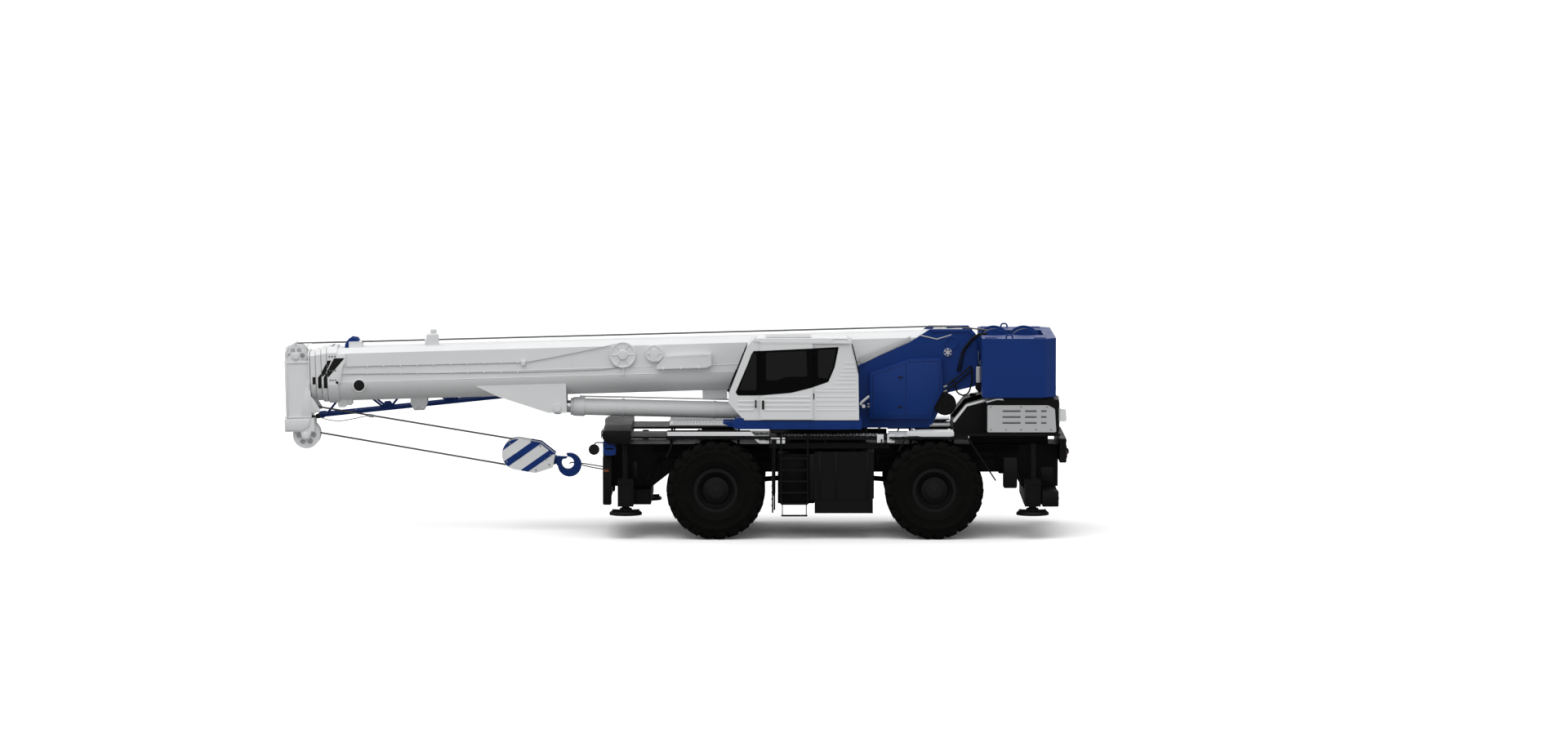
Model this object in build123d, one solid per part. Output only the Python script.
from build123d import *
import os
from math import acos, atan2, cos, degrees, hypot, pi, radians, sin, tan

# Rough terrain crane on two steered axles, parked with its boom down over the front and its
# hook block tied off to the front bumper. Millimetres; +X to the boom's head, +Y to the cab's
# side, +Z up. Everything is laid out from the slewing axis (X = 0, midway between the axles)
# and standing on Z = 0, and is moved along X at the end, so that the origin is the middle of
# the whole crane.

# Running gear
AXLE_X = 2010
TYRE_R = 910
TYRE_WIDTH = 750
TYRE_Y = 1285
LUG_DEPTH = 42
LUGS_PER_ROW = 22
LUG_SHARE = 0.66
RIM_SEAT_R = 370
RIM_FLANGE_R = 405
RIM_HALF_WIDTH = 310
RIM_FLANGE = 22
RIM_SKIN = 28
HUB_R = 240
HUB_CAP_R = 150
KINGPIN_Y = 1000
KINGPIN_R = 32
AXLE_TUBE_R = 140
AXLE_END_Y = 812
DIFFERENTIAL_R = 220
SPINDLE_R = 90
STEER_ARM_X = 330
STEER_ARM_Y = 900
TIE_ROD_R = 24
RUNNING_GAP = 0.5

# Carrier frame and deck
FRAME_HALF_WIDTH = 450
FRAME_BOTTOM_Z = 1150
FRAME_TOP_Z = 1660
FRAME_FRONT_OVERHANG = 288
FRAME_REAR_OVERHANG = 504
REAR_PANEL = 120
REAR_PANEL_Z = (1385, 1830)
BUMPER_HALF_WIDTH = 1200
BUMPER_Z = (602, 1520)
TOW_EYE_AHEAD = 60
TOW_EYE_Z = 1655
TOW_EYE_R = 36
TOW_LUG_Y = 500
TOW_LUG_THICKNESS = 60
DECK_Z = 1900
DECK_THICKNESS = 40
DECK_HALF_WIDTH = 1560
FLAP_INNER_Y = 1400
FLAP_X = 955
FENDER_HALF_WIDTH = 1620
SIDE_RAIL_Y = (1380, 1440)
SIDE_RAIL_Z = (1670, 1775)
SLEW_RING_R = 830
SLEW_RING_TOP_Z = 1950
SLEW_GAP = 0.3

# Outriggers
FRONT_BEAM_X = 3672
REAR_BEAM_X = -3826
FRAME_FRONT_X = FRONT_BEAM_X + FRAME_FRONT_OVERHANG
FRAME_REAR_X = REAR_BEAM_X - FRAME_REAR_OVERHANG
CARRIER_REAR_X = FRAME_REAR_X - REAR_PANEL
TOW_EYE_X = FRAME_FRONT_X + TOW_EYE_AHEAD
BEAM_PITCH = 310
BEAM_WIDTH = 250
BEAM_HEIGHT = 230
BEAM_Z = 740
BEAM_GAP = 6
BEAM_PAD_GAP = 0.5
BEAM_BOX_WALL = 20
BEAM_BOX_HALF_WIDTH = 1150
BEAM_INNER_END_Y = 1120
BEAM_STROKE = 2150
JACK_Y = 1345
SLEEVE_SIZE = 290
SLEEVE_BOTTOM_Z = 600
SLEEVE_TOP_Z = 1100
RAM_R = 70
RAM_STEM_R = 34
JACK_TUBE_R = 55
JACK_TOP_Z = 1740
FLOAT_R = 300
FLOAT_Z = 440
JACK_STROKE = 600

# Superstructure
PLATE_INNER_Y = 442
PLATE_THICKNESS = 40
TURNTABLE_Z = 2020
BOOM_PIN_X = -2280
BOOM_PIN_Z = 3370
BOOM_PIN_R = 75
COUNTERWEIGHT_HALF_WIDTH = 1500
COUNTERWEIGHT_BOTTOM_Z = 2620
COUNTERWEIGHT_TOP_Z = 3700
COUNTERWEIGHT_FRONT_X = -2890
COUNTERWEIGHT_REAR_X = -4250
COUNTERWEIGHT_BAY_HALF_WIDTH = 620
WINCH_R = 230
WINCH_Z = 3480
WINCH_FLOOR_Z = 3150
TURNTABLE_REAR_X = -2870
CAB_INNER_Y = 630
CAB_OUTER_Y = 1540
CAB_WALL = 40
CAB_FLOOR_Z = 2197
DOOR_GAP = 6
DOOR_THICKNESS = 36
DOOR_FRONT_X = 1193
DOOR_REAR_X = 227
DOOR_TRAVEL = 700
DOOR_TOP_Z = 3616
GLASS = 8

# Boom, in its own frame: x along the boom from the foot pin, z across it
BOOM_DROOP = 1.62
BOOM_WIDTH = 850
BOOM_HEIGHT = 1000
BOOM_AXIS_Z = -120
BOOM_BELLY = 350
BOOM_TOP_CHAMFER = 95
BOOM_WALL = 12
PAD_LENGTH = 60
PAD_GAP = 1
SECTION_STEP = 30
BOOM_REAR = -300
BOOM_FRONT = 11509
SECTION_SHOW = 107
SECTION_REAR_STEP = 150
HEAD_TIP = 12345
HEAD_PLATE_Y = 300
HEAD_TOP_Z = 167
HEAD_WAIST_Z = -909
HEAD_LOW_Z = -1151
TELE_STROKE = 9750
COLLAR_LENGTH = 190
COLLAR_DEPTH = 35
LUFF_MAX = 83

# Stowed jib on the boom's far side
JIB_LENGTH = 8400
JIB_START = 3300
JIB_START_Z = -300
JIB_DROOP = 4.3
JIB_SIZE = (420, 520)
JIB_BAYS = 7
JIB_CHORD_R = 34
JIB_LACING_R = 21

# Lift cylinder
LIFT_FOOT_X = -700
LIFT_FOOT_Z = 2197
LIFT_EYE_X = 4965
LIFT_EYE_Z = 2328
LIFT_BARREL_R = 156
LIFT_ROD_R = 115
LIFT_COLLAR = 22

# Hook block and hoist rope
ROPE_R = 11
BLOCK_X = 5714
BLOCK_Z = 1446
BLOCK_TILT = 10
BLOCK_NOSE_R = 290
BLOCK_REAR = 690
BLOCK_SHOULDER = 390
BLOCK_END_HALF = 132
BLOCK_CHEEK_Y = 195
BLOCK_CHEEK = 30
BLOCK_PITCH_R = 249
SHEAVE_PITCH_Y = 105
SHEAVE_HALF_WIDTH = 22
GROOVE_RISE = 8
GROOVE_DEPTH = 25
HOOK_EYE = (-949, -11)
HOOK_EYE_R = 115
HOOK_BACK = (-986, -43)
HOOK_BACK_R = 220
HOOK_THICKNESS = 120
HOOK_SHANK_R = 52
HOOK_THROAT = 105

# Where the origin goes
HEAD_FRONT_X = BOOM_PIN_X + HEAD_TIP * cos(radians(BOOM_DROOP))
FRAME_X = (HEAD_FRONT_X + CARRIER_REAR_X) / 2


def block(x, y, z):
    """Box between low and high values along each axis."""
    corner = Pos(min(x), min(y), min(z))
    size = (abs(x[1] - x[0]), abs(y[1] - y[0]), abs(z[1] - z[0]))
    return corner * Box(*size, align=(Align.MIN, Align.MIN, Align.MIN))


def side_profile(points, y):
    """Outline in X and Z, extruded between two values of Y."""
    plane = Plane(origin=(0, min(y), 0), x_dir=(1, 0, 0), z_dir=(0, -1, 0))
    face = plane * make_face(Polyline(points, close=True))
    return extrude(face, -abs(y[1] - y[0]))


def bar(start, end, radius):
    """Round bar between two points."""
    start = Vector(*start)
    end = Vector(*end)
    plane = Plane(origin=start, z_dir=end - start)
    length = (end - start).length
    return plane * Cylinder(radius, length, align=(Align.CENTER, Align.CENTER, Align.MIN))


def pipe(start, end, radius, inner):
    return bar(start, end, radius) - bar(start, end, inner)


def turned(points):
    """Outline in radius and height, revolved about Z."""
    return revolve(Plane.XZ * make_face(Polyline(points, close=True)), Axis.Z)


def both_sides(shape):
    return shape + mirror(shape, about=Plane.XZ)


def strip(start, end, near, far):
    """Outline of a band along a line, between two distances to its left."""
    run = hypot(end[0] - start[0], end[1] - start[1])
    left = (-(end[1] - start[1]) / run, (end[0] - start[0]) / run)
    return [(point[0] + left[0] * off, point[1] + left[1] * off)
            for point, off in ((start, near), (end, near), (end, far), (start, far))]


# Wheels: axle, side
CORNERS = {
    "front_left": (AXLE_X, 1),
    "front_right": (AXLE_X, -1),
    "rear_left": (-AXLE_X, 1),
    "rear_right": (-AXLE_X, -1),
}


def at_wheel(shape, corner):
    """A wheel piece built about Z, outside up, set on its axle."""
    x, side = CORNERS[corner]
    return Pos(x, side * TYRE_Y, TYRE_R) * Rot(-side * 90, 0, 0) * shape


def tyre():
    half = TYRE_WIDTH / 2
    tread_r = TYRE_R - LUG_DEPTH
    right = [(RIM_SEAT_R, RIM_HALF_WIDTH), (RIM_FLANGE_R + 20, RIM_HALF_WIDTH),
             (TYRE_R * 0.72, half), (tread_r - 60, half - 20), (tread_r, half - 75)]
    left = [(r, -w) for r, w in reversed(right)]
    ring = turned(right + left)
    lug_arc = 360 / LUGS_PER_ROW
    lug_width = radians(lug_arc) * tread_r * LUG_SHARE
    lug_top = (TYRE_R**2 - (lug_width / 2)**2)**0.5
    lugs = []
    for row in (1, -1):
        outline = [(tread_r - 55, 12), (lug_top, 12), (lug_top, half - 70), (tread_r - 50, half - 18)]
        lug = extrude(Plane.XZ * make_face(Polyline([(r, row * w) for r, w in outline], close=True)),
                      lug_width / 2, both=True)
        for k in range(LUGS_PER_ROW):
            lugs.append(Rot(0, 0, lug_arc * (k + row / 4)) * lug)
    return ring.fuse(*lugs)


def rim():
    inner_r = RIM_SEAT_R - RIM_SKIN
    end = RIM_HALF_WIDTH + RIM_FLANGE
    seat = RIM_SEAT_R - RUNNING_GAP
    outline = [
        (0, 40), (SPINDLE_R + RUNNING_GAP, 40), (SPINDLE_R + RUNNING_GAP, -20), (SPINDLE_R + 60, -20),
        (SPINDLE_R + 60, 30), (inner_r, 30), (inner_r, -end), (RIM_FLANGE_R, -end),
        (RIM_FLANGE_R, -RIM_HALF_WIDTH), (seat, -RIM_HALF_WIDTH), (seat, RIM_HALF_WIDTH),
        (RIM_FLANGE_R, RIM_HALF_WIDTH), (RIM_FLANGE_R, end), (inner_r, end), (inner_r, 95),
        (HUB_R, 80), (HUB_R, 215), (HUB_CAP_R, 240), (HUB_CAP_R, 300), (0, 310),
    ]
    return turned(outline)


def knuckle(corner):
    x, side = CORNERS[corner]
    inward = -1 if x > 0 else 1
    z = TYRE_R
    boss = bar((x, side * KINGPIN_Y, z - 118), (x, side * KINGPIN_Y, z + 118), 80)
    flange = bar((x, side * KINGPIN_Y, z), (x, side * 1250, z), 112)
    spindle = bar((x, side * 1240, z), (x, side * 1320, z), SPINDLE_R)
    pin_x = x + inward * STEER_ARM_X
    arm_points = [(x, side * (KINGPIN_Y + 30)), (x, side * (KINGPIN_Y - 40)),
                  (pin_x, side * (STEER_ARM_Y - 30)), (pin_x, side * (STEER_ARM_Y + 40))]
    arm = Pos(0, 0, z - 25) * extrude(make_face(Polyline(arm_points, close=True)), 50)
    eye = bar((pin_x, side * STEER_ARM_Y, z - 25), (pin_x, side * STEER_ARM_Y, z + 25), 52)
    shape = boss + flange + spindle + arm + eye
    shape -= bar((x, side * KINGPIN_Y, z - 120), (x, side * KINGPIN_Y, z + 120), KINGPIN_R + RUNNING_GAP)
    ball = TIE_ROD_R + RUNNING_GAP
    return shape - bar((pin_x, side * STEER_ARM_Y, z - 30), (pin_x, side * STEER_ARM_Y, z + 30), ball)


def tie_rod(axle_x):
    """Track rod, pinned to the left arm; its other end lies under the right arm's eye."""
    inward = -1 if axle_x > 0 else 1
    x = axle_x + inward * STEER_ARM_X
    z = TYRE_R - 60
    y = STEER_ARM_Y
    rod = bar((x, -y, z), (x, y, z), TIE_ROD_R)
    rod += bar((x, -y, z - 30), (x, -y, z + 28), 36) + bar((x, y, z - 30), (x, y, z + 30), 36)
    return rod + bar((x, y, z), (x, y, TYRE_R + 35), TIE_ROD_R)


def axle(x):
    z = TYRE_R
    tube = bar((x, -AXLE_END_Y, z), (x, AXLE_END_Y, z), AXLE_TUBE_R)
    middle = Pos(x, 0, z) * Sphere(DIFFERENTIAL_R)
    shape = tube + middle
    for side in (1, -1):
        for up in (1, -1):
            ear = block((x - 75, x + 75), (side * (AXLE_END_Y - 60), side * (KINGPIN_Y + 70)),
                        (z + up * 124, z + up * 165))
            shape += ear
        web = block((x - 75, x + 75), (side * (AXLE_END_Y - 60), side * (AXLE_END_Y + 2)), (z - 165, z + 165))
        shape += web + bar((x, side * KINGPIN_Y, z - 165), (x, side * KINGPIN_Y, z + 165), KINGPIN_R)
        seat = block((x - 170, x + 170), (side * 300, side * 430), (z + 60, FRAME_BOTTOM_Z))
        shape += seat
    return shape


def beam_box(x):
    """Outrigger cross box: two tunnels side by side, open at both ends."""
    reach = BEAM_WIDTH / 2 + BEAM_GAP
    rise = BEAM_HEIGHT / 2 + BEAM_PAD_GAP
    wall = BEAM_BOX_WALL
    width = (-BEAM_BOX_HALF_WIDTH, BEAM_BOX_HALF_WIDTH)
    low = x - BEAM_PITCH
    shape = block((low - reach - wall, x + reach + wall), width, (BEAM_Z - rise - wall, BEAM_Z + rise + wall))
    for middle in (x, low):
        shape -= block((middle - reach, middle + reach), width, (BEAM_Z - rise, BEAM_Z + rise))
    return shape


def chassis_frame():
    width = (-FRAME_HALF_WIDTH, FRAME_HALF_WIDTH)
    top = FRAME_TOP_Z
    low = FRAME_BOTTOM_Z
    box_top = BEAM_Z + BEAM_HEIGHT / 2 + BEAM_PAD_GAP + BEAM_BOX_WALL
    outline = [(FRAME_REAR_X, top), (FRAME_REAR_X, box_top), (REAR_BEAM_X + 180, box_top),
               (REAR_BEAM_X + 330, low), (FRONT_BEAM_X - 830, low), (FRONT_BEAM_X - 480, box_top),
               (FRAME_FRONT_X, box_top), (FRAME_FRONT_X, top)]
    shape = side_profile(outline, width)
    shape += beam_box(FRONT_BEAM_X) + beam_box(REAR_BEAM_X)
    shape += block((CARRIER_REAR_X, FRAME_REAR_X), (-BUMPER_HALF_WIDTH, BUMPER_HALF_WIDTH), REAR_PANEL_Z)
    neck = Pos(0, 0, FRAME_BOTTOM_Z + 100) * Cylinder(SLEW_RING_R - 60, top - low - 30,
                                                     align=(Align.CENTER, Align.CENTER, Align.MIN))
    return shape + neck


def slew_ring():
    z = FRAME_TOP_Z + 70
    outline = [(SLEW_RING_R - 130, z), (SLEW_RING_R, z), (SLEW_RING_R, z + 60), (SLEW_RING_R - 30, z + 60),
               (SLEW_RING_R - 30, SLEW_RING_TOP_Z), (SLEW_RING_R - 130, SLEW_RING_TOP_Z)]
    return turned(outline)


# Sloped ends of the fenders in X and Z, and the inner edge of each, clear of the steered tyres
FENDER_ENDS = (
    ((2780, DECK_Z - 20), (2930, 1520), 1500),
    ((-2635, DECK_Z - 20), (-3145, 1100), 1500),
    ((-1465, DECK_Z - 20), (-1335, 1630), 1560),
)


def deck_plates():
    """Walkway plates, fenders and side rails on both sides of the frame."""
    top = DECK_Z
    low = DECK_Z - DECK_THICKNESS
    inner = FRAME_HALF_WIDTH - 20
    outer = FENDER_HALF_WIDTH
    shape = block((FRAME_FRONT_X - 1040, FRAME_FRONT_X - 380), (inner, DECK_HALF_WIDTH), (low, top))
    shape += block((1000, FRAME_FRONT_X - 1040), (inner, outer), (low, top + 10))
    shape += block((-1180, 1000), (SLEW_RING_R + 60, DECK_HALF_WIDTH), (low, top))
    shape += block((-2635, -1180), (inner, outer), (low, top))
    shape += block((1000, 1025), (FRAME_HALF_WIDTH, outer), (FRAME_TOP_Z + 40, low))
    shape += block((-1050, -1025), (FRAME_HALF_WIDTH, outer), (FRAME_TOP_Z + 40, low))
    for start, end, edge in FENDER_ENDS:
        shape += side_profile(strip(start, end, 0, 25 if start[0] > end[0] else -25), (edge, outer))
    for x in (2850, 1600, 1012, -1037, -1600, -2380):
        shape += block((x - 20, x + 20), (FRAME_HALF_WIDTH, FRAME_HALF_WIDTH + 60), (FRAME_TOP_Z - 200, low))
        shape += block((x - 20, x + 20), (FRAME_HALF_WIDTH, DECK_HALF_WIDTH - 100), (low - 30, low))
    shape += block((-1180, 1000), SIDE_RAIL_Y, SIDE_RAIL_Z)
    for x in (-1037, 0, 990):
        shape += block((x - 20, x + 20), SIDE_RAIL_Y, (SIDE_RAIL_Z[0], low))
    flap_y = (FLAP_INNER_Y, outer)
    shape += block((FLAP_X - 60, FLAP_X + 30), flap_y, (1700, low))
    shape += block((FLAP_X, FLAP_X + 20), flap_y, (500, low))
    return both_sides(shape)


def front_bumper():
    x = FRAME_FRONT_X
    plate = block((x + 20, x + 130), (-BUMPER_HALF_WIDTH, BUMPER_HALF_WIDTH), BUMPER_Z)
    lug_y = (TOW_LUG_Y, TOW_LUG_Y + TOW_LUG_THICKNESS)
    lug = block((x - 160, x + 140), lug_y, (1500, 1790))
    lugs = both_sides(lug - bar((TOW_EYE_X, 480, TOW_EYE_Z), (TOW_EYE_X, 600, TOW_EYE_Z), TOW_EYE_R))
    nose = side_profile([(x - 380, 1765), (x + 30, 1765), (x + 130, 1860), (x + 130, 1990), (x + 60, 2010),
                         (x - 380, 2010)], (-DECK_HALF_WIDTH, DECK_HALF_WIDTH))
    return plate + lugs + nose + block((x, x + 20), (-430, 430), (900, 1600))


HOOD_OUTLINE = [(-4300, 1940), (-4300, 2574), (-3150, 2574), (-2620, 2425), (-2370, 2120), (-2370, 1940)]
HOOD_HALF_WIDTH = 1450
HOOD_WAIST = (-2960, 1105)
HOOD_VALLEY = (470, 2090)
HOOD_FLOOR_Z = (1900, 1940)
HOOD_WALL = 30


def engine_hood():
    """Rear hood: two tall housings with a low walkway between them, hollow underneath."""
    def shell(wall):
        face = offset(make_face(Polyline(HOOD_OUTLINE, close=True)), amount=-wall, kind=Kind.INTERSECTION)
        half = HOOD_HALF_WIDTH - wall
        plane = Plane(origin=(0, -half, 0), x_dir=(1, 0, 0), z_dir=(0, -1, 0))
        full = extrude(plane * face, -2 * half) if wall else side_profile(HOOD_OUTLINE, (-half, half))
        waist_x, waist_y = HOOD_WAIST
        waist = block((waist_x - wall, -2300), (-HOOD_HALF_WIDTH - 150, -waist_y + wall), (HOOD_FLOOR_Z[0], 2700))
        full -= waist + mirror(waist, about=Plane.XZ)
        half, floor = HOOD_VALLEY
        return full - block((-4400, -2300), (-half - wall, half + wall), (floor - wall, 2700))
    cavity = shell(HOOD_WALL)
    cavity += Pos(0, 0, -HOOD_WALL - 1) * cavity
    shape = shell(0) - cavity
    base = block((FRAME_REAR_X, -2370), (-HOOD_HALF_WIDTH, HOOD_HALF_WIDTH), HOOD_FLOOR_Z)
    base -= block((-4170, -2680), (-440, 440), HOOD_FLOOR_Z)
    return shape + base


def engine_block():
    return block((-4150, -2700), (-420, 420), (1945, 2050)) + block((-4150, -2700), (-330, 330), (FRAME_TOP_Z, 1945))


def side_tanks():
    z_low = 485
    z_top = 1616
    fuel = block((-900, 200), (900, DECK_HALF_WIDTH), (z_low + 270, z_top))
    hydraulic = block((-900, 200), (-DECK_HALF_WIDTH, -900), (z_low + 270, z_top))
    step = block((-880, 190), (1150, DECK_HALF_WIDTH - 5), (z_low, z_low + 270))
    shape = fuel + hydraulic + step
    for x in (-800, 40):
        arm = block((x, x + 80), (FRAME_HALF_WIDTH, 900), (FRAME_BOTTOM_Z, FRAME_BOTTOM_Z + 90))
        shape += arm + mirror(arm, about=Plane.XZ)
    return shape


def ladders():
    shape = Part()
    for side in (1, -1):
        y = side * (DECK_HALF_WIDTH + 20)
        for x in (320, 810):
            shape += bar((x, y, 660), (x, y, DECK_Z + 15), 18)
            shape += block((x - 18, x + 18), (y - side * 80, y), (DECK_Z, DECK_Z + 30))
        for rung in (660, 870, 1080, 1290, 1500):
            shape += block((320, 810), (y - side * 60, y + side * 30), (rung - 15, rung + 15))
    return shape


def outrigger_beam(x, side, pitch_side):
    centre = x if pitch_side else x - BEAM_PITCH
    inner = -side * BEAM_INNER_END_Y
    z = BEAM_Z
    beam = block((centre - BEAM_WIDTH / 2, centre + BEAM_WIDTH / 2), (inner, side * (JACK_Y - 100)),
                 (z - BEAM_HEIGHT / 2, z + BEAM_HEIGHT / 2))
    half = SLEEVE_SIZE / 2
    y = side * JACK_Y
    sleeve = block((centre - half, centre + half), (y - half, y + half), (SLEEVE_BOTTOM_Z, SLEEVE_TOP_Z))
    tube = bar((centre, y, SLEEVE_TOP_Z), (centre, y, JACK_TOP_Z), JACK_TUBE_R)
    shape = beam + sleeve + tube
    shape -= bar((centre, y, SLEEVE_BOTTOM_Z), (centre, y, SLEEVE_TOP_Z - 5), RAM_R + RUNNING_GAP)
    return shape - bar((centre, y, SLEEVE_TOP_Z - 10), (centre, y, JACK_TOP_Z - 15), RAM_STEM_R + 4)


def jack(x, side, pitch_side):
    centre = x if pitch_side else x - BEAM_PITCH
    y = side * JACK_Y
    ram = bar((centre, y, FLOAT_Z + 20), (centre, y, SLEEVE_TOP_Z - 15), RAM_R)
    stem = bar((centre, y, SLEEVE_TOP_Z - 20), (centre, y, JACK_TOP_Z - 30), RAM_STEM_R)
    boss = RAM_R + 45
    pad = turned([(0, 0), (FLOAT_R, 0), (FLOAT_R, 38), (FLOAT_R - 22, 60), (boss, 60), (boss, 100), (0, 100)])
    return ram + stem + Pos(centre, y, FLOAT_Z) * pad


TURNTABLE_SIDE = [(760, TURNTABLE_Z), (760, 2380), (520, 2520), (-755, 3189), (-1565, 3551), (-1948, 3799),
                  (-2688, 3799), (-2830, 3640), (TURNTABLE_REAR_X, 2760), (-2290, 2620), (-1990, TURNTABLE_Z)]
COVER_SIDE = [(-830, 2140), (-830, 2990), (-1560, 3262), (-2160, 3277), (-2190, 2660), (-2020, 2350),
              (-1960, 2140)]
COVER_OUTER_Y = 620


def turntable_frame():
    outside = PLATE_INNER_Y + PLATE_THICKNESS
    plates = both_sides(side_profile(TURNTABLE_SIDE, (PLATE_INNER_Y, outside)))
    base = block((-1950, 900), (-outside, outside), (SLEW_RING_TOP_Z + 15, TURNTABLE_Z))
    race = Cylinder(SLEW_RING_R - 20, 60, align=(Align.CENTER, Align.CENTER, Align.MIN))
    base += Pos(0, 0, SLEW_RING_TOP_Z + SLEW_GAP) * race
    web = block((-1960, -1920), (-PLATE_INNER_Y, PLATE_INNER_Y), (TURNTABLE_Z, 2600))
    shape = plates + base + web
    pin_y = outside + 38
    pin = bar((BOOM_PIN_X, -pin_y, BOOM_PIN_Z), (BOOM_PIN_X, pin_y, BOOM_PIN_Z), BOOM_PIN_R)
    foot = bar((LIFT_FOOT_X, -outside, LIFT_FOOT_Z), (LIFT_FOOT_X, outside, LIFT_FOOT_Z), 60)
    cross = block((-2840, -2800), (-PLATE_INNER_Y, PLATE_INNER_Y), (2780, 3300))
    return shape + pin + foot + cross


def side_covers():
    """Valve and hose covers on both sides of the turntable."""
    return both_sides(side_profile(COVER_SIDE, (PLATE_INNER_Y + PLATE_THICKNESS, COVER_OUTER_Y)))


def counterweight():
    top = COUNTERWEIGHT_TOP_Z
    low = COUNTERWEIGHT_BOTTOM_Z
    half = COUNTERWEIGHT_HALF_WIDTH
    front = COUNTERWEIGHT_FRONT_X
    rear = COUNTERWEIGHT_REAR_X
    bay = COUNTERWEIGHT_BAY_HALF_WIDTH
    plan = [(front, half), (front, bay), (-3500, bay), (-3500, -bay), (front, -bay), (front, -half),
            (rear + 190, -half), (rear, -half + 200), (rear, half - 200), (rear + 190, half)]
    shape = Pos(0, 0, low) * extrude(make_face(Polyline(plan, close=True)), top - low)
    shape -= block((-4050, front), (-bay, bay), (WINCH_FLOOR_Z, top))
    bracket = block((front - 30, TURNTABLE_REAR_X), (-PLATE_INNER_Y - 40, PLATE_INNER_Y + 40), (2780, 3120))
    inner = block((-3510, front - 20), (-bay, bay), (2780, WINCH_FLOOR_Z))
    return shape + bracket + inner


def winches():
    shape = Part()
    z = WINCH_Z
    for x in (-3160, -3720):
        drum = bar((x, -400, z), (x, 400, z), WINCH_R)
        shape += drum
        for y in (-420, 380):
            shape += bar((x, y, z), (x, y + 40, z), WINCH_R + 90)
        for y in (-500, 460):
            shape += block((x - 120, x + 120), (y, y + 40), (WINCH_FLOOR_Z, z + 80))
        shape += bar((x, -500, z), (x, 500, z), 60)
    return shape


CAB_OUTLINE = [(1490, CAB_FLOOR_Z), (1775, 2528), (1775, 2679), (1430, 3567), (1330, 3680), (1220, 3710),
               (-400, 3710), (-475, 3642), (-610, 3040), (-625, CAB_FLOOR_Z)]
SIDE_WINDOW = [(1643, 2717), (1318, 3477), (-250, 3552), (-175, 3176), (-60, 2909), (246, 2804), (629, 2709),
               (1241, 2659), (1604, 2659)]
WINDSCREEN = [(1775, 2679), (1430, 3567)]
SIDE_PANES = {"front": (1250, 1700), "rear": (-300, 155)}
DOOR_PANE = (320, 1100)


def cab_shell():
    outer = make_face(Polyline(CAB_OUTLINE, close=True))
    inner = offset(outer, amount=-CAB_WALL, kind=Kind.INTERSECTION)
    plane = Plane(origin=(0, CAB_INNER_Y, 0), x_dir=(1, 0, 0), z_dir=(0, -1, 0))
    shape = extrude(plane * outer, -(CAB_OUTER_Y - CAB_INNER_Y))
    plane = Plane(origin=(0, CAB_INNER_Y + CAB_WALL, 0), x_dir=(1, 0, 0), z_dir=(0, -1, 0))
    shape -= extrude(plane * inner, -(CAB_OUTER_Y - CAB_INNER_Y - 2 * CAB_WALL))
    for cut in window_cuts(CAB_WALL + 60, 30):
        shape -= cut
    opening = block((DOOR_REAR_X + 60, DOOR_FRONT_X - 60), (CAB_OUTER_Y - CAB_WALL - 5, CAB_OUTER_Y + 5),
                    (CAB_FLOOR_Z + CAB_WALL, 3590))
    rail = block((DOOR_REAR_X - DOOR_TRAVEL + 20, DOOR_FRONT_X), (CAB_OUTER_Y - 1, CAB_OUTER_Y + DOOR_GAP
                 + DOOR_THICKNESS), (DOOR_TOP_Z + RUNNING_GAP, DOOR_TOP_Z + 24))
    return shape - opening + rail


def side_pane(x, y):
    pane = side_profile(SIDE_WINDOW, y)
    return pane & block(x, (y[0] - 1, y[1] + 1), (2000, 4000))


def window_cuts(depth, start):
    """Cuts for the windscreen, roof, rear and side windows, or panes of the same outline."""
    side = (CAB_INNER_Y + 90, CAB_OUTER_Y - 90)
    low, high = WINDSCREEN
    foot = (low[0] + (high[0] - low[0]) * 0.06, low[1] + (high[1] - low[1]) * 0.06)
    head = (low[0] + (high[0] - low[0]) * 0.95, low[1] + (high[1] - low[1]) * 0.95)
    near = -start if depth > GLASS else CAB_WALL / 2 - GLASS / 2
    far = near + depth
    cuts = [side_profile(strip(foot, head, near, far), side)]
    cuts.append(block((250, 1100), side, (3710 - near - depth, 3710 - near)))
    for y_face, out in ((CAB_OUTER_Y, -1), (CAB_INNER_Y, 1)):
        y_span = sorted((y_face + out * near, y_face + out * far))
        for x in SIDE_PANES.values():
            cuts.append(side_pane(x, y_span))
    y_span = sorted((CAB_INNER_Y + near, CAB_INNER_Y + far))
    cuts.append(side_pane(DOOR_PANE, y_span))
    return cuts


def cab_glass():
    panes = window_cuts(GLASS, 0)
    shape = panes[0]
    for pane in panes[1:]:
        shape += pane
    return shape


def cab_door():
    y = (CAB_OUTER_Y + DOOR_GAP, CAB_OUTER_Y + DOOR_GAP + DOOR_THICKNESS)
    shape = block((DOOR_REAR_X, DOOR_FRONT_X), y, (CAB_FLOOR_Z + 20, DOOR_TOP_Z))
    return shape - side_pane(DOOR_PANE, (y[0] - 1, y[1] + 1))


def door_glass():
    y = CAB_OUTER_Y + DOOR_GAP + DOOR_THICKNESS / 2 - GLASS / 2
    return side_pane(DOOR_PANE, (y, y + GLASS))


def cab_floor_frame():
    top = CAB_FLOOR_Z
    shape = block((-670, 1640), (PLATE_INNER_Y + PLATE_THICKNESS, CAB_OUTER_Y + 20), (top - 160, top))
    step = block((1630, 1790), (900, CAB_OUTER_Y - 60), (top - 120, top - 60))
    return shape + step


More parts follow.
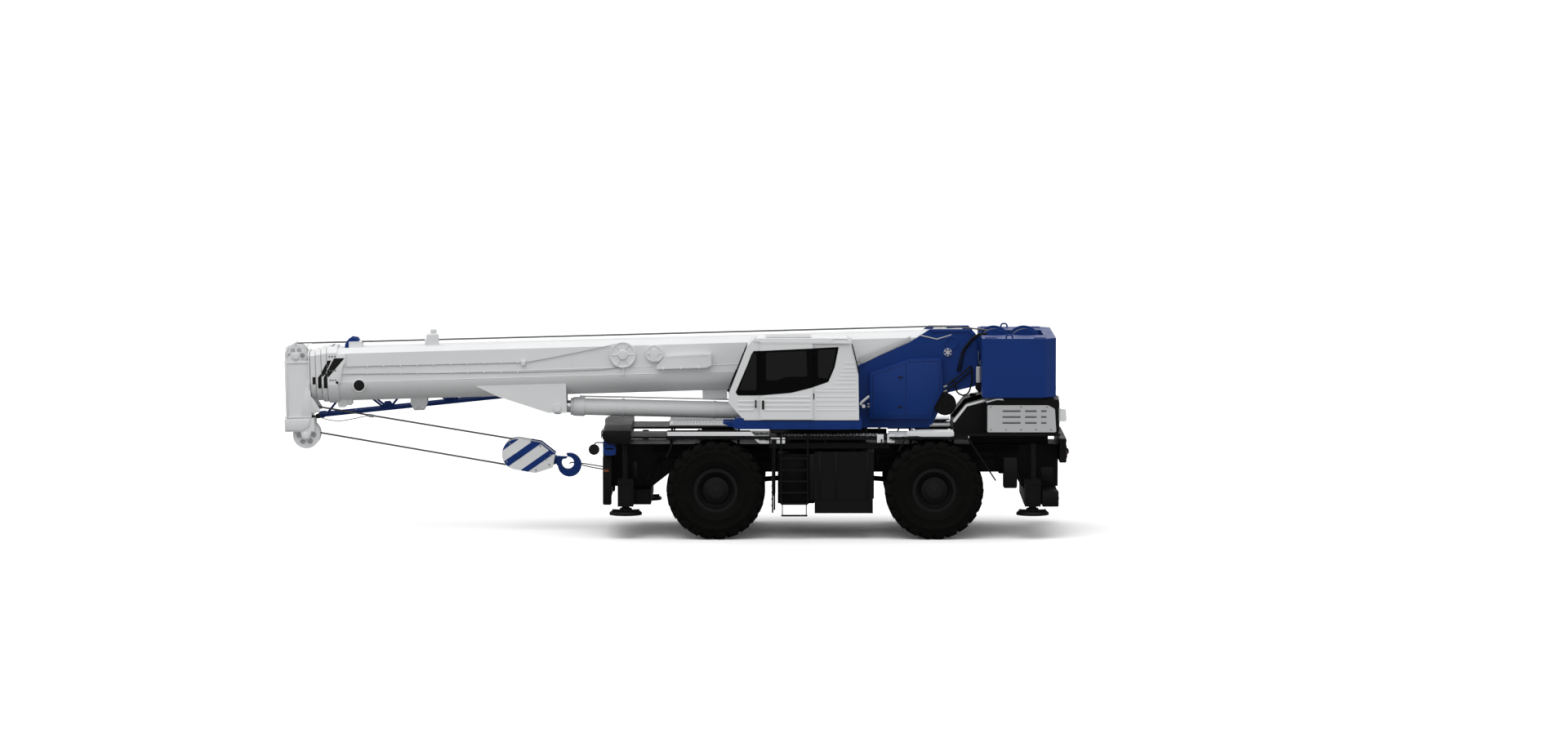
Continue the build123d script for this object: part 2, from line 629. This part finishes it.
def operator_seat():
    y = (CAB_INNER_Y + CAB_OUTER_Y) / 2
    floor = CAB_FLOOR_Z + CAB_WALL
    shape = block((150, 450), (y - 180, y + 180), (floor, floor + 320))
    shape += block((80, 600), (y - 250, y + 250), (floor + 310, floor + 450))
    shape += side_profile([(90, floor + 440), (220, floor + 440), (60, floor + 1100), (-60, floor + 1100)],
                          (y - 240, y + 240))
    for side in (1, -1):
        shape += block((150, 720), (y + side * 249, y + side * 340), (floor + 300, floor + 640))
    shape += block((1250, 1450), (y - 200, y + 200), (floor, floor + 650))
    return shape


def on_boom(shape):
    """From the boom's own frame to its place at rest."""
    return Location((BOOM_PIN_X, 0, BOOM_PIN_Z), (0, BOOM_DROOP, 0)) * shape


def boom_section(step):
    """Closed outline of one boom section: flat top with chamfers, rounded belly."""
    half = BOOM_WIDTH / 2 - step
    high = BOOM_HEIGHT / 2 - step
    cut = BOOM_TOP_CHAMFER - step * 0.4
    belly = BOOM_BELLY - step * 0.5
    low = -high + belly
    line = Polyline((half, low), (half, high - cut), (half - cut, high), (cut - half, high),
                    (-half, high - cut), (-half, low))
    arc = ThreePointArc((-half, low), (0, -high), (half, low))
    return Plane(origin=(0, 0, BOOM_AXIS_Z), x_dir=(0, 1, 0), z_dir=(1, 0, 0)) * make_face(line + arc)


def boom_tube(step, rear, front):
    outer = extrude(boom_section(step), front - rear)
    inner = extrude(boom_section(step + BOOM_WALL), front - rear)
    return Pos(rear, 0, 0) * (outer - inner)


def boom_collar(step, rear, front, depth):
    outer = extrude(boom_section(step - depth), front - rear)
    inner = extrude(boom_section(step + 1), front - rear)
    return Pos(rear, 0, 0) * (outer - inner)


LIFT_EYE_LOCAL = (Rot(0, -BOOM_DROOP, 0) * Pos(LIFT_EYE_X - BOOM_PIN_X, 0, LIFT_EYE_Z - BOOM_PIN_Z)).position


def front_pads(step, front):
    """Ring of wear pads in a section's mouth, which the next section slides on."""
    outer = extrude(boom_section(step + BOOM_WALL), PAD_LENGTH)
    inner = extrude(boom_section(step + SECTION_STEP - PAD_GAP), PAD_LENGTH)
    return Pos(front - PAD_LENGTH, 0, 0) * (outer - inner)


def boom_base():
    shape = boom_tube(0, BOOM_REAR, BOOM_FRONT)
    shape += front_pads(0, BOOM_FRONT)
    shape += boom_collar(0, BOOM_FRONT - COLLAR_LENGTH, BOOM_FRONT, COLLAR_DEPTH)
    shape -= bar((0, -500, 0), (0, 500, 0), BOOM_PIN_R + 1)
    eye = LIFT_EYE_LOCAL
    shape += lift_bracket(eye) - bar((eye.X, -500, eye.Z), (eye.X, 500, eye.Z), 50) - inside_of_boom()
    for side in (1, -1):
        near = side * (LIFT_BARREL_R + LIFT_COLLAR + 12)
        shape += bar((eye.X, near, eye.Z), (eye.X, side * (BRACKET_Y[1] + 30), eye.Z), 70)
    lug = [(11180, -560), (11180, -700), (11230, -735), (11330, -735), (11360, -700), (11360, -560)]
    hole = bar((11243, -300, -695), (11243, 300, -695), 24)
    return on_boom(shape + both_sides(side_profile(lug, (120, 150)) - hole - inside_of_boom()))


BRACKET_Y = (345, 385)


def lift_bracket(eye):
    """Two plates under the belly for the lift cylinder's eye, run forward into gussets."""
    belly = BOOM_AXIS_Z - BOOM_HEIGHT / 2
    outline = [(eye.X + 1633, belly + 293), (eye.X + 1089, belly + 21), (eye.X + 176, eye.Z - 90),
               (eye.X - 175, eye.Z - 100), (eye.X - 175, belly + 330), (eye.X + 1633, belly + 330)]
    return both_sides(side_profile(outline, BRACKET_Y))


def inside_of_boom():
    return Pos(BOOM_REAR, 0, 0) * extrude(boom_section(BOOM_WALL / 2), BOOM_FRONT - BOOM_REAR)


def tele_section(k):
    step = SECTION_STEP * k
    front = BOOM_FRONT + SECTION_SHOW * k
    shape = boom_tube(step, BOOM_REAR + SECTION_REAR_STEP * k + 300, front) + front_pads(step, front)
    shape += boom_collar(step, front - SECTION_SHOW + 12, front, SECTION_STEP + 12)
    return on_boom(shape)


def boom_head():
    """Innermost section with the head's side plates and the lower sheave carrier."""
    step = SECTION_STEP * 4
    front = BOOM_FRONT + SECTION_SHOW * 3
    (top_x, top_z), (low_x, low_z) = SHEAVES
    rear = front + 10
    tip = HEAD_TIP - 35
    outline = [(rear, HEAD_TOP_Z), (top_x - 105, HEAD_TOP_Z), (top_x - 60, top_z + 75), (top_x + 60, top_z + 75),
               (tip, HEAD_TOP_Z), (tip, HEAD_WAIST_Z), (HEAD_TIP, HEAD_WAIST_Z), (HEAD_TIP, HEAD_LOW_Z),
               (low_x + 100, HEAD_LOW_Z), (low_x + 60, low_z - 75), (low_x - 60, low_z - 75),
               (low_x - 100, HEAD_LOW_Z), (rear - 45, HEAD_LOW_Z), (rear - 45, HEAD_WAIST_Z), (rear, HEAD_WAIST_Z)]
    plates = both_sides(side_profile(outline, (HEAD_PLATE_Y, HEAD_PLATE_Y + 30)))
    plates += block((HEAD_TIP - 125, HEAD_TIP - 55), (-HEAD_PLATE_Y, HEAD_PLATE_Y), (-1150, -1050))
    plates += block((top_x - 195, top_x - 115), (-HEAD_PLATE_Y, HEAD_PLATE_Y), (-735, -635))
    shape = boom_tube(step, BOOM_REAR + SECTION_REAR_STEP * 4 + 300, front + 40)
    cap = Pos(front + 14, 0, 0) * extrude(boom_section(40), 26)
    shape += cap + plates
    for x, z in SHEAVES:
        shape += bar((x, -345, z), (x, 345, z), 45)
    return on_boom(shape) - rope_holes()


SHEAVES = ((HEAD_TIP - 250, 258), (HEAD_TIP - 388, -1226))
SHEAVE_R = (213, 250)


def head_sheaves():
    shape = Part()
    for (x, z), radius in zip(SHEAVES, SHEAVE_R):
        for k in (-2, -1, 0, 1, 2):
            wheel = sheave(radius, 46)
            if abs(k) == 2:
                wheel -= lightening_holes(radius)
            shape += Pos(x, k * SHEAVE_PITCH_Y, z) * Rot(90, 0, 0) * wheel
    return on_boom(shape)


def lightening_holes(radius):
    middle = (46 + radius - GROOVE_DEPTH) / 2
    hole = Pos(middle, 0, 0) * Cylinder(0.2 * radius, 100)
    return Part() + [Rot(0, 0, 60 * k) * hole for k in range(6)]


BOOM_BOX = [(5228, 77), (4388, 96), (4388, -110), (4480, -150), (5394, -150), (5394, -105)]


def boom_fittings():
    """Cable reels, sensor housing, junction boxes and rope guide on the base section."""
    top = BOOM_AXIS_Z + BOOM_HEIGHT / 2
    side = BOOM_WIDTH / 2
    shape = side_profile(BOOM_BOX, (side, side + 120))
    for x, z, radius in ((6023, 120, 235), (5438, 128, 156)):
        shape += bar((x, side, z), (x, side + 55, z), radius)
        shape += bar((x, side, z), (x, side + 90, z), 80)
    shape += block((5355, 5505), (side, side + 75), (-15, 60))
    belly = BOOM_AXIS_Z - BOOM_HEIGHT / 2
    under = block((4114, 4573), (-110, 110), (belly - 155, belly + 40))
    shape += under - Pos(4000, 0, 0) * extrude(boom_section(0), 700)
    shape += block((10870, 11110), (-240, 240), (top, top + 110))
    shape += block((9440, 9640), (100, 300), (top, top + 200))
    return on_boom(shape)


def jib_stowed():
    """Folded lattice jib carried along the far side of the boom, on two brackets."""
    near = -(BOOM_WIDTH / 2 + 100)
    far = near - JIB_SIZE[0]
    top = JIB_SIZE[1]
    pitch = JIB_LENGTH / JIB_BAYS
    shape = Part()
    for y in (near, far):
        for z in (0, top):
            shape += bar((0, y, z), (JIB_LENGTH, y, z), JIB_CHORD_R)
    for k in range(JIB_BAYS):
        x = pitch * k + 40
        for y in (near, far):
            shape += bar((x, y, 0), (x + pitch / 2 - 60, y, top), JIB_LACING_R)
            shape += bar((x + pitch / 2 + 20, y, top), (x + pitch - 80, y, 0), JIB_LACING_R)
        for z in (0, top):
            shape += bar((x + pitch / 2 - 20, near, z), (x + pitch / 2 - 20, far, z), JIB_LACING_R - 3)
    shape = Location((JIB_START, 0, JIB_START_Z), (0, JIB_DROOP, 0)) * shape
    for x in (JIB_START + 300, JIB_START + 5200):
        rise = JIB_START_Z - (x + 60 - JIB_START) * tan(radians(JIB_DROOP)) + top
        shape += block((x, x + 120), (near, -BOOM_WIDTH / 2), (rise - 40, rise + 40))
    return on_boom(shape)


# The load rope's ends at the head: each part runs from the upper one round the block to the lower
ROPE_UPPER = (9630, 2349)
ROPE_LOWER = (9920, 1921)


def rope_tangent(end, turn):
    """Where a rope from this end meets the block's pitch circle: angle in degrees and point."""
    across = end[0] - BLOCK_X
    up = end[1] - BLOCK_Z
    angle = atan2(up, across) + turn * acos(BLOCK_PITCH_R / hypot(across, up))
    return angle, rope_on_sheave(angle)


def rope_on_sheave(angle):
    return (BLOCK_X + BLOCK_PITCH_R * cos(angle), BLOCK_Z + BLOCK_PITCH_R * sin(angle))


def rope_part(y, radius):
    """One part of the load rope, out from the head, round a sheave of the block and back."""
    first, over = rope_tangent(ROPE_UPPER, 1)
    last, under = rope_tangent(ROPE_LOWER, -1)
    behind = rope_on_sheave((first + last) / 2 + pi)
    points = [Vector(x, y, z) for x, z in (ROPE_UPPER, over, behind, under, ROPE_LOWER)]
    path = Wire([Line(points[0], points[1]).edge(), ThreePointArc(*points[1:4]).edge(),
                 Line(points[3], points[4]).edge()])
    start = Plane(origin=points[0], z_dir=points[1] - points[0])
    return sweep(start * Circle(radius), path=path)


ROPE_YS = (-SHEAVE_PITCH_Y / 2, SHEAVE_PITCH_Y / 2)


def rope_holes():
    holes = Part()
    for y in ROPE_YS:
        for end, turn in ((ROPE_UPPER, 1), (ROPE_LOWER, -1)):
            point = rope_tangent(end, turn)[1]
            holes += bar((end[0], y, end[1]), (point[0], y, point[1]), ROPE_R + RUNNING_GAP / 2)
    return holes


def hoist_ropes():
    """Load rope, pulled tight from the head's lower end to the hook block."""
    return Compound([rope_part(y, ROPE_R).solid() for y in ROPE_YS])


def block_frame():
    """Hook block's own frame: x from its sheave pin to the boom's head, z up."""
    return Location((BLOCK_X, 0, BLOCK_Z), (0, -BLOCK_TILT, 0))


def sheave(radius, bore):
    half = SHEAVE_HALF_WIDTH
    return turned([(bore, -half), (radius, -half), (radius - GROOVE_DEPTH, 0), (radius, half), (bore, half)])


def hook_block():
    """Sheaves on one pin between two cheeks, with the crosshead that carries the hook."""
    nose = BLOCK_NOSE_R
    lines = Polyline((0, nose), (-BLOCK_SHOULDER, nose), (-BLOCK_REAR, BLOCK_END_HALF),
                     (-BLOCK_REAR, -BLOCK_END_HALF), (-BLOCK_SHOULDER, -nose), (0, -nose))
    outline = make_face(lines + ThreePointArc((0, -nose), (nose, 0), (0, nose)))
    plane = Plane(origin=(0, BLOCK_CHEEK_Y, 0), x_dir=(1, 0, 0), z_dir=(0, -1, 0))
    shape = both_sides(extrude(plane * outline, -BLOCK_CHEEK))
    outside = BLOCK_CHEEK_Y + BLOCK_CHEEK
    shape += bar((0, -outside - 25, 0), (0, outside + 25, 0), 60)
    shape += block((-BLOCK_REAR, -BLOCK_REAR + 150), (-BLOCK_CHEEK_Y, BLOCK_CHEEK_Y), (-80, 80))
    for z in (-230, 230):
        shape += bar((-BLOCK_SHOULDER, -outside, z), (-BLOCK_SHOULDER, outside, z), 24)
    for k in (-1.5, -0.5, 0.5, 1.5):
        shape += Pos(0, k * SHEAVE_PITCH_Y, 0) * Rot(90, 0, 0) * sheave(BLOCK_PITCH_R + GROOVE_RISE, 50)
    shape -= bar((-BLOCK_REAR - 10, 0, 0), (-BLOCK_REAR + 160, 0, 0), HOOK_SHANK_R + RUNNING_GAP / 2)
    return block_frame() * shape


def load_hook():
    """Single hook: a crescent between two circles, open above, on a round shank."""
    plane = Plane(origin=(0, -HOOK_THICKNESS / 2, 0), x_dir=(1, 0, 0), z_dir=(0, -1, 0))
    crescent = Pos(*HOOK_BACK) * Circle(HOOK_BACK_R) - Pos(*HOOK_EYE) * Circle(HOOK_EYE_R)
    throat = Pos(*HOOK_EYE) * Rot(0, 0, 52) * Pos(HOOK_BACK_R, 0) * Rectangle(2 * HOOK_BACK_R, HOOK_THROAT)
    bowl = extrude(plane * (crescent - throat), -HOOK_THICKNESS)
    neck = bar((-BLOCK_REAR + 140, 0, 0), (HOOK_EYE[0] + HOOK_EYE_R + 40, 0, 0), HOOK_SHANK_R)
    root = side_profile([(-BLOCK_REAR - 30, 50), (-BLOCK_REAR - 30, -50), (-880, -210), (-1000, -200),
                         (-850, -60)], (-HOOK_THICKNESS / 2, HOOK_THICKNESS / 2))
    eye = bar((HOOK_EYE[0], -200, HOOK_EYE[1]), (HOOK_EYE[0], 200, HOOK_EYE[1]), HOOK_EYE_R)
    return block_frame() * (bowl + neck + (root - eye))


def lift_frame():
    """Lift cylinder's own frame: x from the foot pin to the rod's eye."""
    drop = atan2(LIFT_EYE_Z - LIFT_FOOT_Z, LIFT_EYE_X - LIFT_FOOT_X)
    return Location((LIFT_FOOT_X, 0, LIFT_FOOT_Z), (0, -degrees(drop), 0))


LIFT_LENGTH = hypot(LIFT_EYE_X - LIFT_FOOT_X, LIFT_EYE_Z - LIFT_FOOT_Z)


def lift_barrel():
    end = LIFT_LENGTH - 340
    shape = pipe((120, 0, 0), (end, 0, 0), LIFT_BARREL_R, LIFT_ROD_R + 1)
    shape += pipe((end - 160, 0, 0), (end, 0, 0), LIFT_BARREL_R + LIFT_COLLAR, LIFT_ROD_R + 1)
    eye = bar((0, -150, 0), (0, 150, 0), 150) + block((0, 160), (-110, 110), (-110, 110))
    shape += eye - bar((0, -160, 0), (0, 160, 0), 61)
    return lift_frame() * shape


def lift_rod():
    shape = bar((200, 0, 0), (LIFT_LENGTH - 130, 0, 0), LIFT_ROD_R)
    shape += bar((LIFT_LENGTH, -LIFT_ROD_R - 30, 0), (LIFT_LENGTH, LIFT_ROD_R + 30, 0), 145)
    shape -= bar((LIFT_LENGTH, -300, 0), (LIFT_LENGTH, 300, 0), 75)
    return lift_frame() * shape


def save(name, shape):
    shape = Pos(-FRAME_X, 0, 0) * shape
    export_step(shape, f"parts/{name}.step")


def main():
    os.makedirs("parts", exist_ok=True)
    tyre_shape = tyre()
    rim_shape = rim()
    for corner, (x, side) in CORNERS.items():
        save(f"tyre_{corner}", at_wheel(tyre_shape, corner))
        save(f"rim_{corner}", at_wheel(rim_shape, corner))
        save(f"knuckle_{corner}", knuckle(corner))
        beam_x = FRONT_BEAM_X if x > 0 else REAR_BEAM_X
        save(f"beam_{corner}", outrigger_beam(beam_x, side, side > 0))
        save(f"jack_{corner}", jack(beam_x, side, side > 0))
    save("tie_rod_front", tie_rod(AXLE_X))
    save("tie_rod_rear", tie_rod(-AXLE_X))
    save("axles", Compound([axle(AXLE_X).solid(), axle(-AXLE_X).solid()]))
    pieces = (chassis_frame, slew_ring, deck_plates, front_bumper, engine_hood, engine_block, side_tanks,
              ladders, turntable_frame, side_covers, counterweight, winches, cab_shell, cab_glass, cab_door,
              door_glass, cab_floor_frame, operator_seat, boom_base, boom_head, head_sheaves, boom_fittings,
              jib_stowed, hoist_ropes, hook_block, load_hook, lift_barrel, lift_rod)
    for piece in pieces:
        save(piece.__name__, piece())
    for k in (1, 2, 3):
        save(f"tele_section_{k}", tele_section(k))


main()
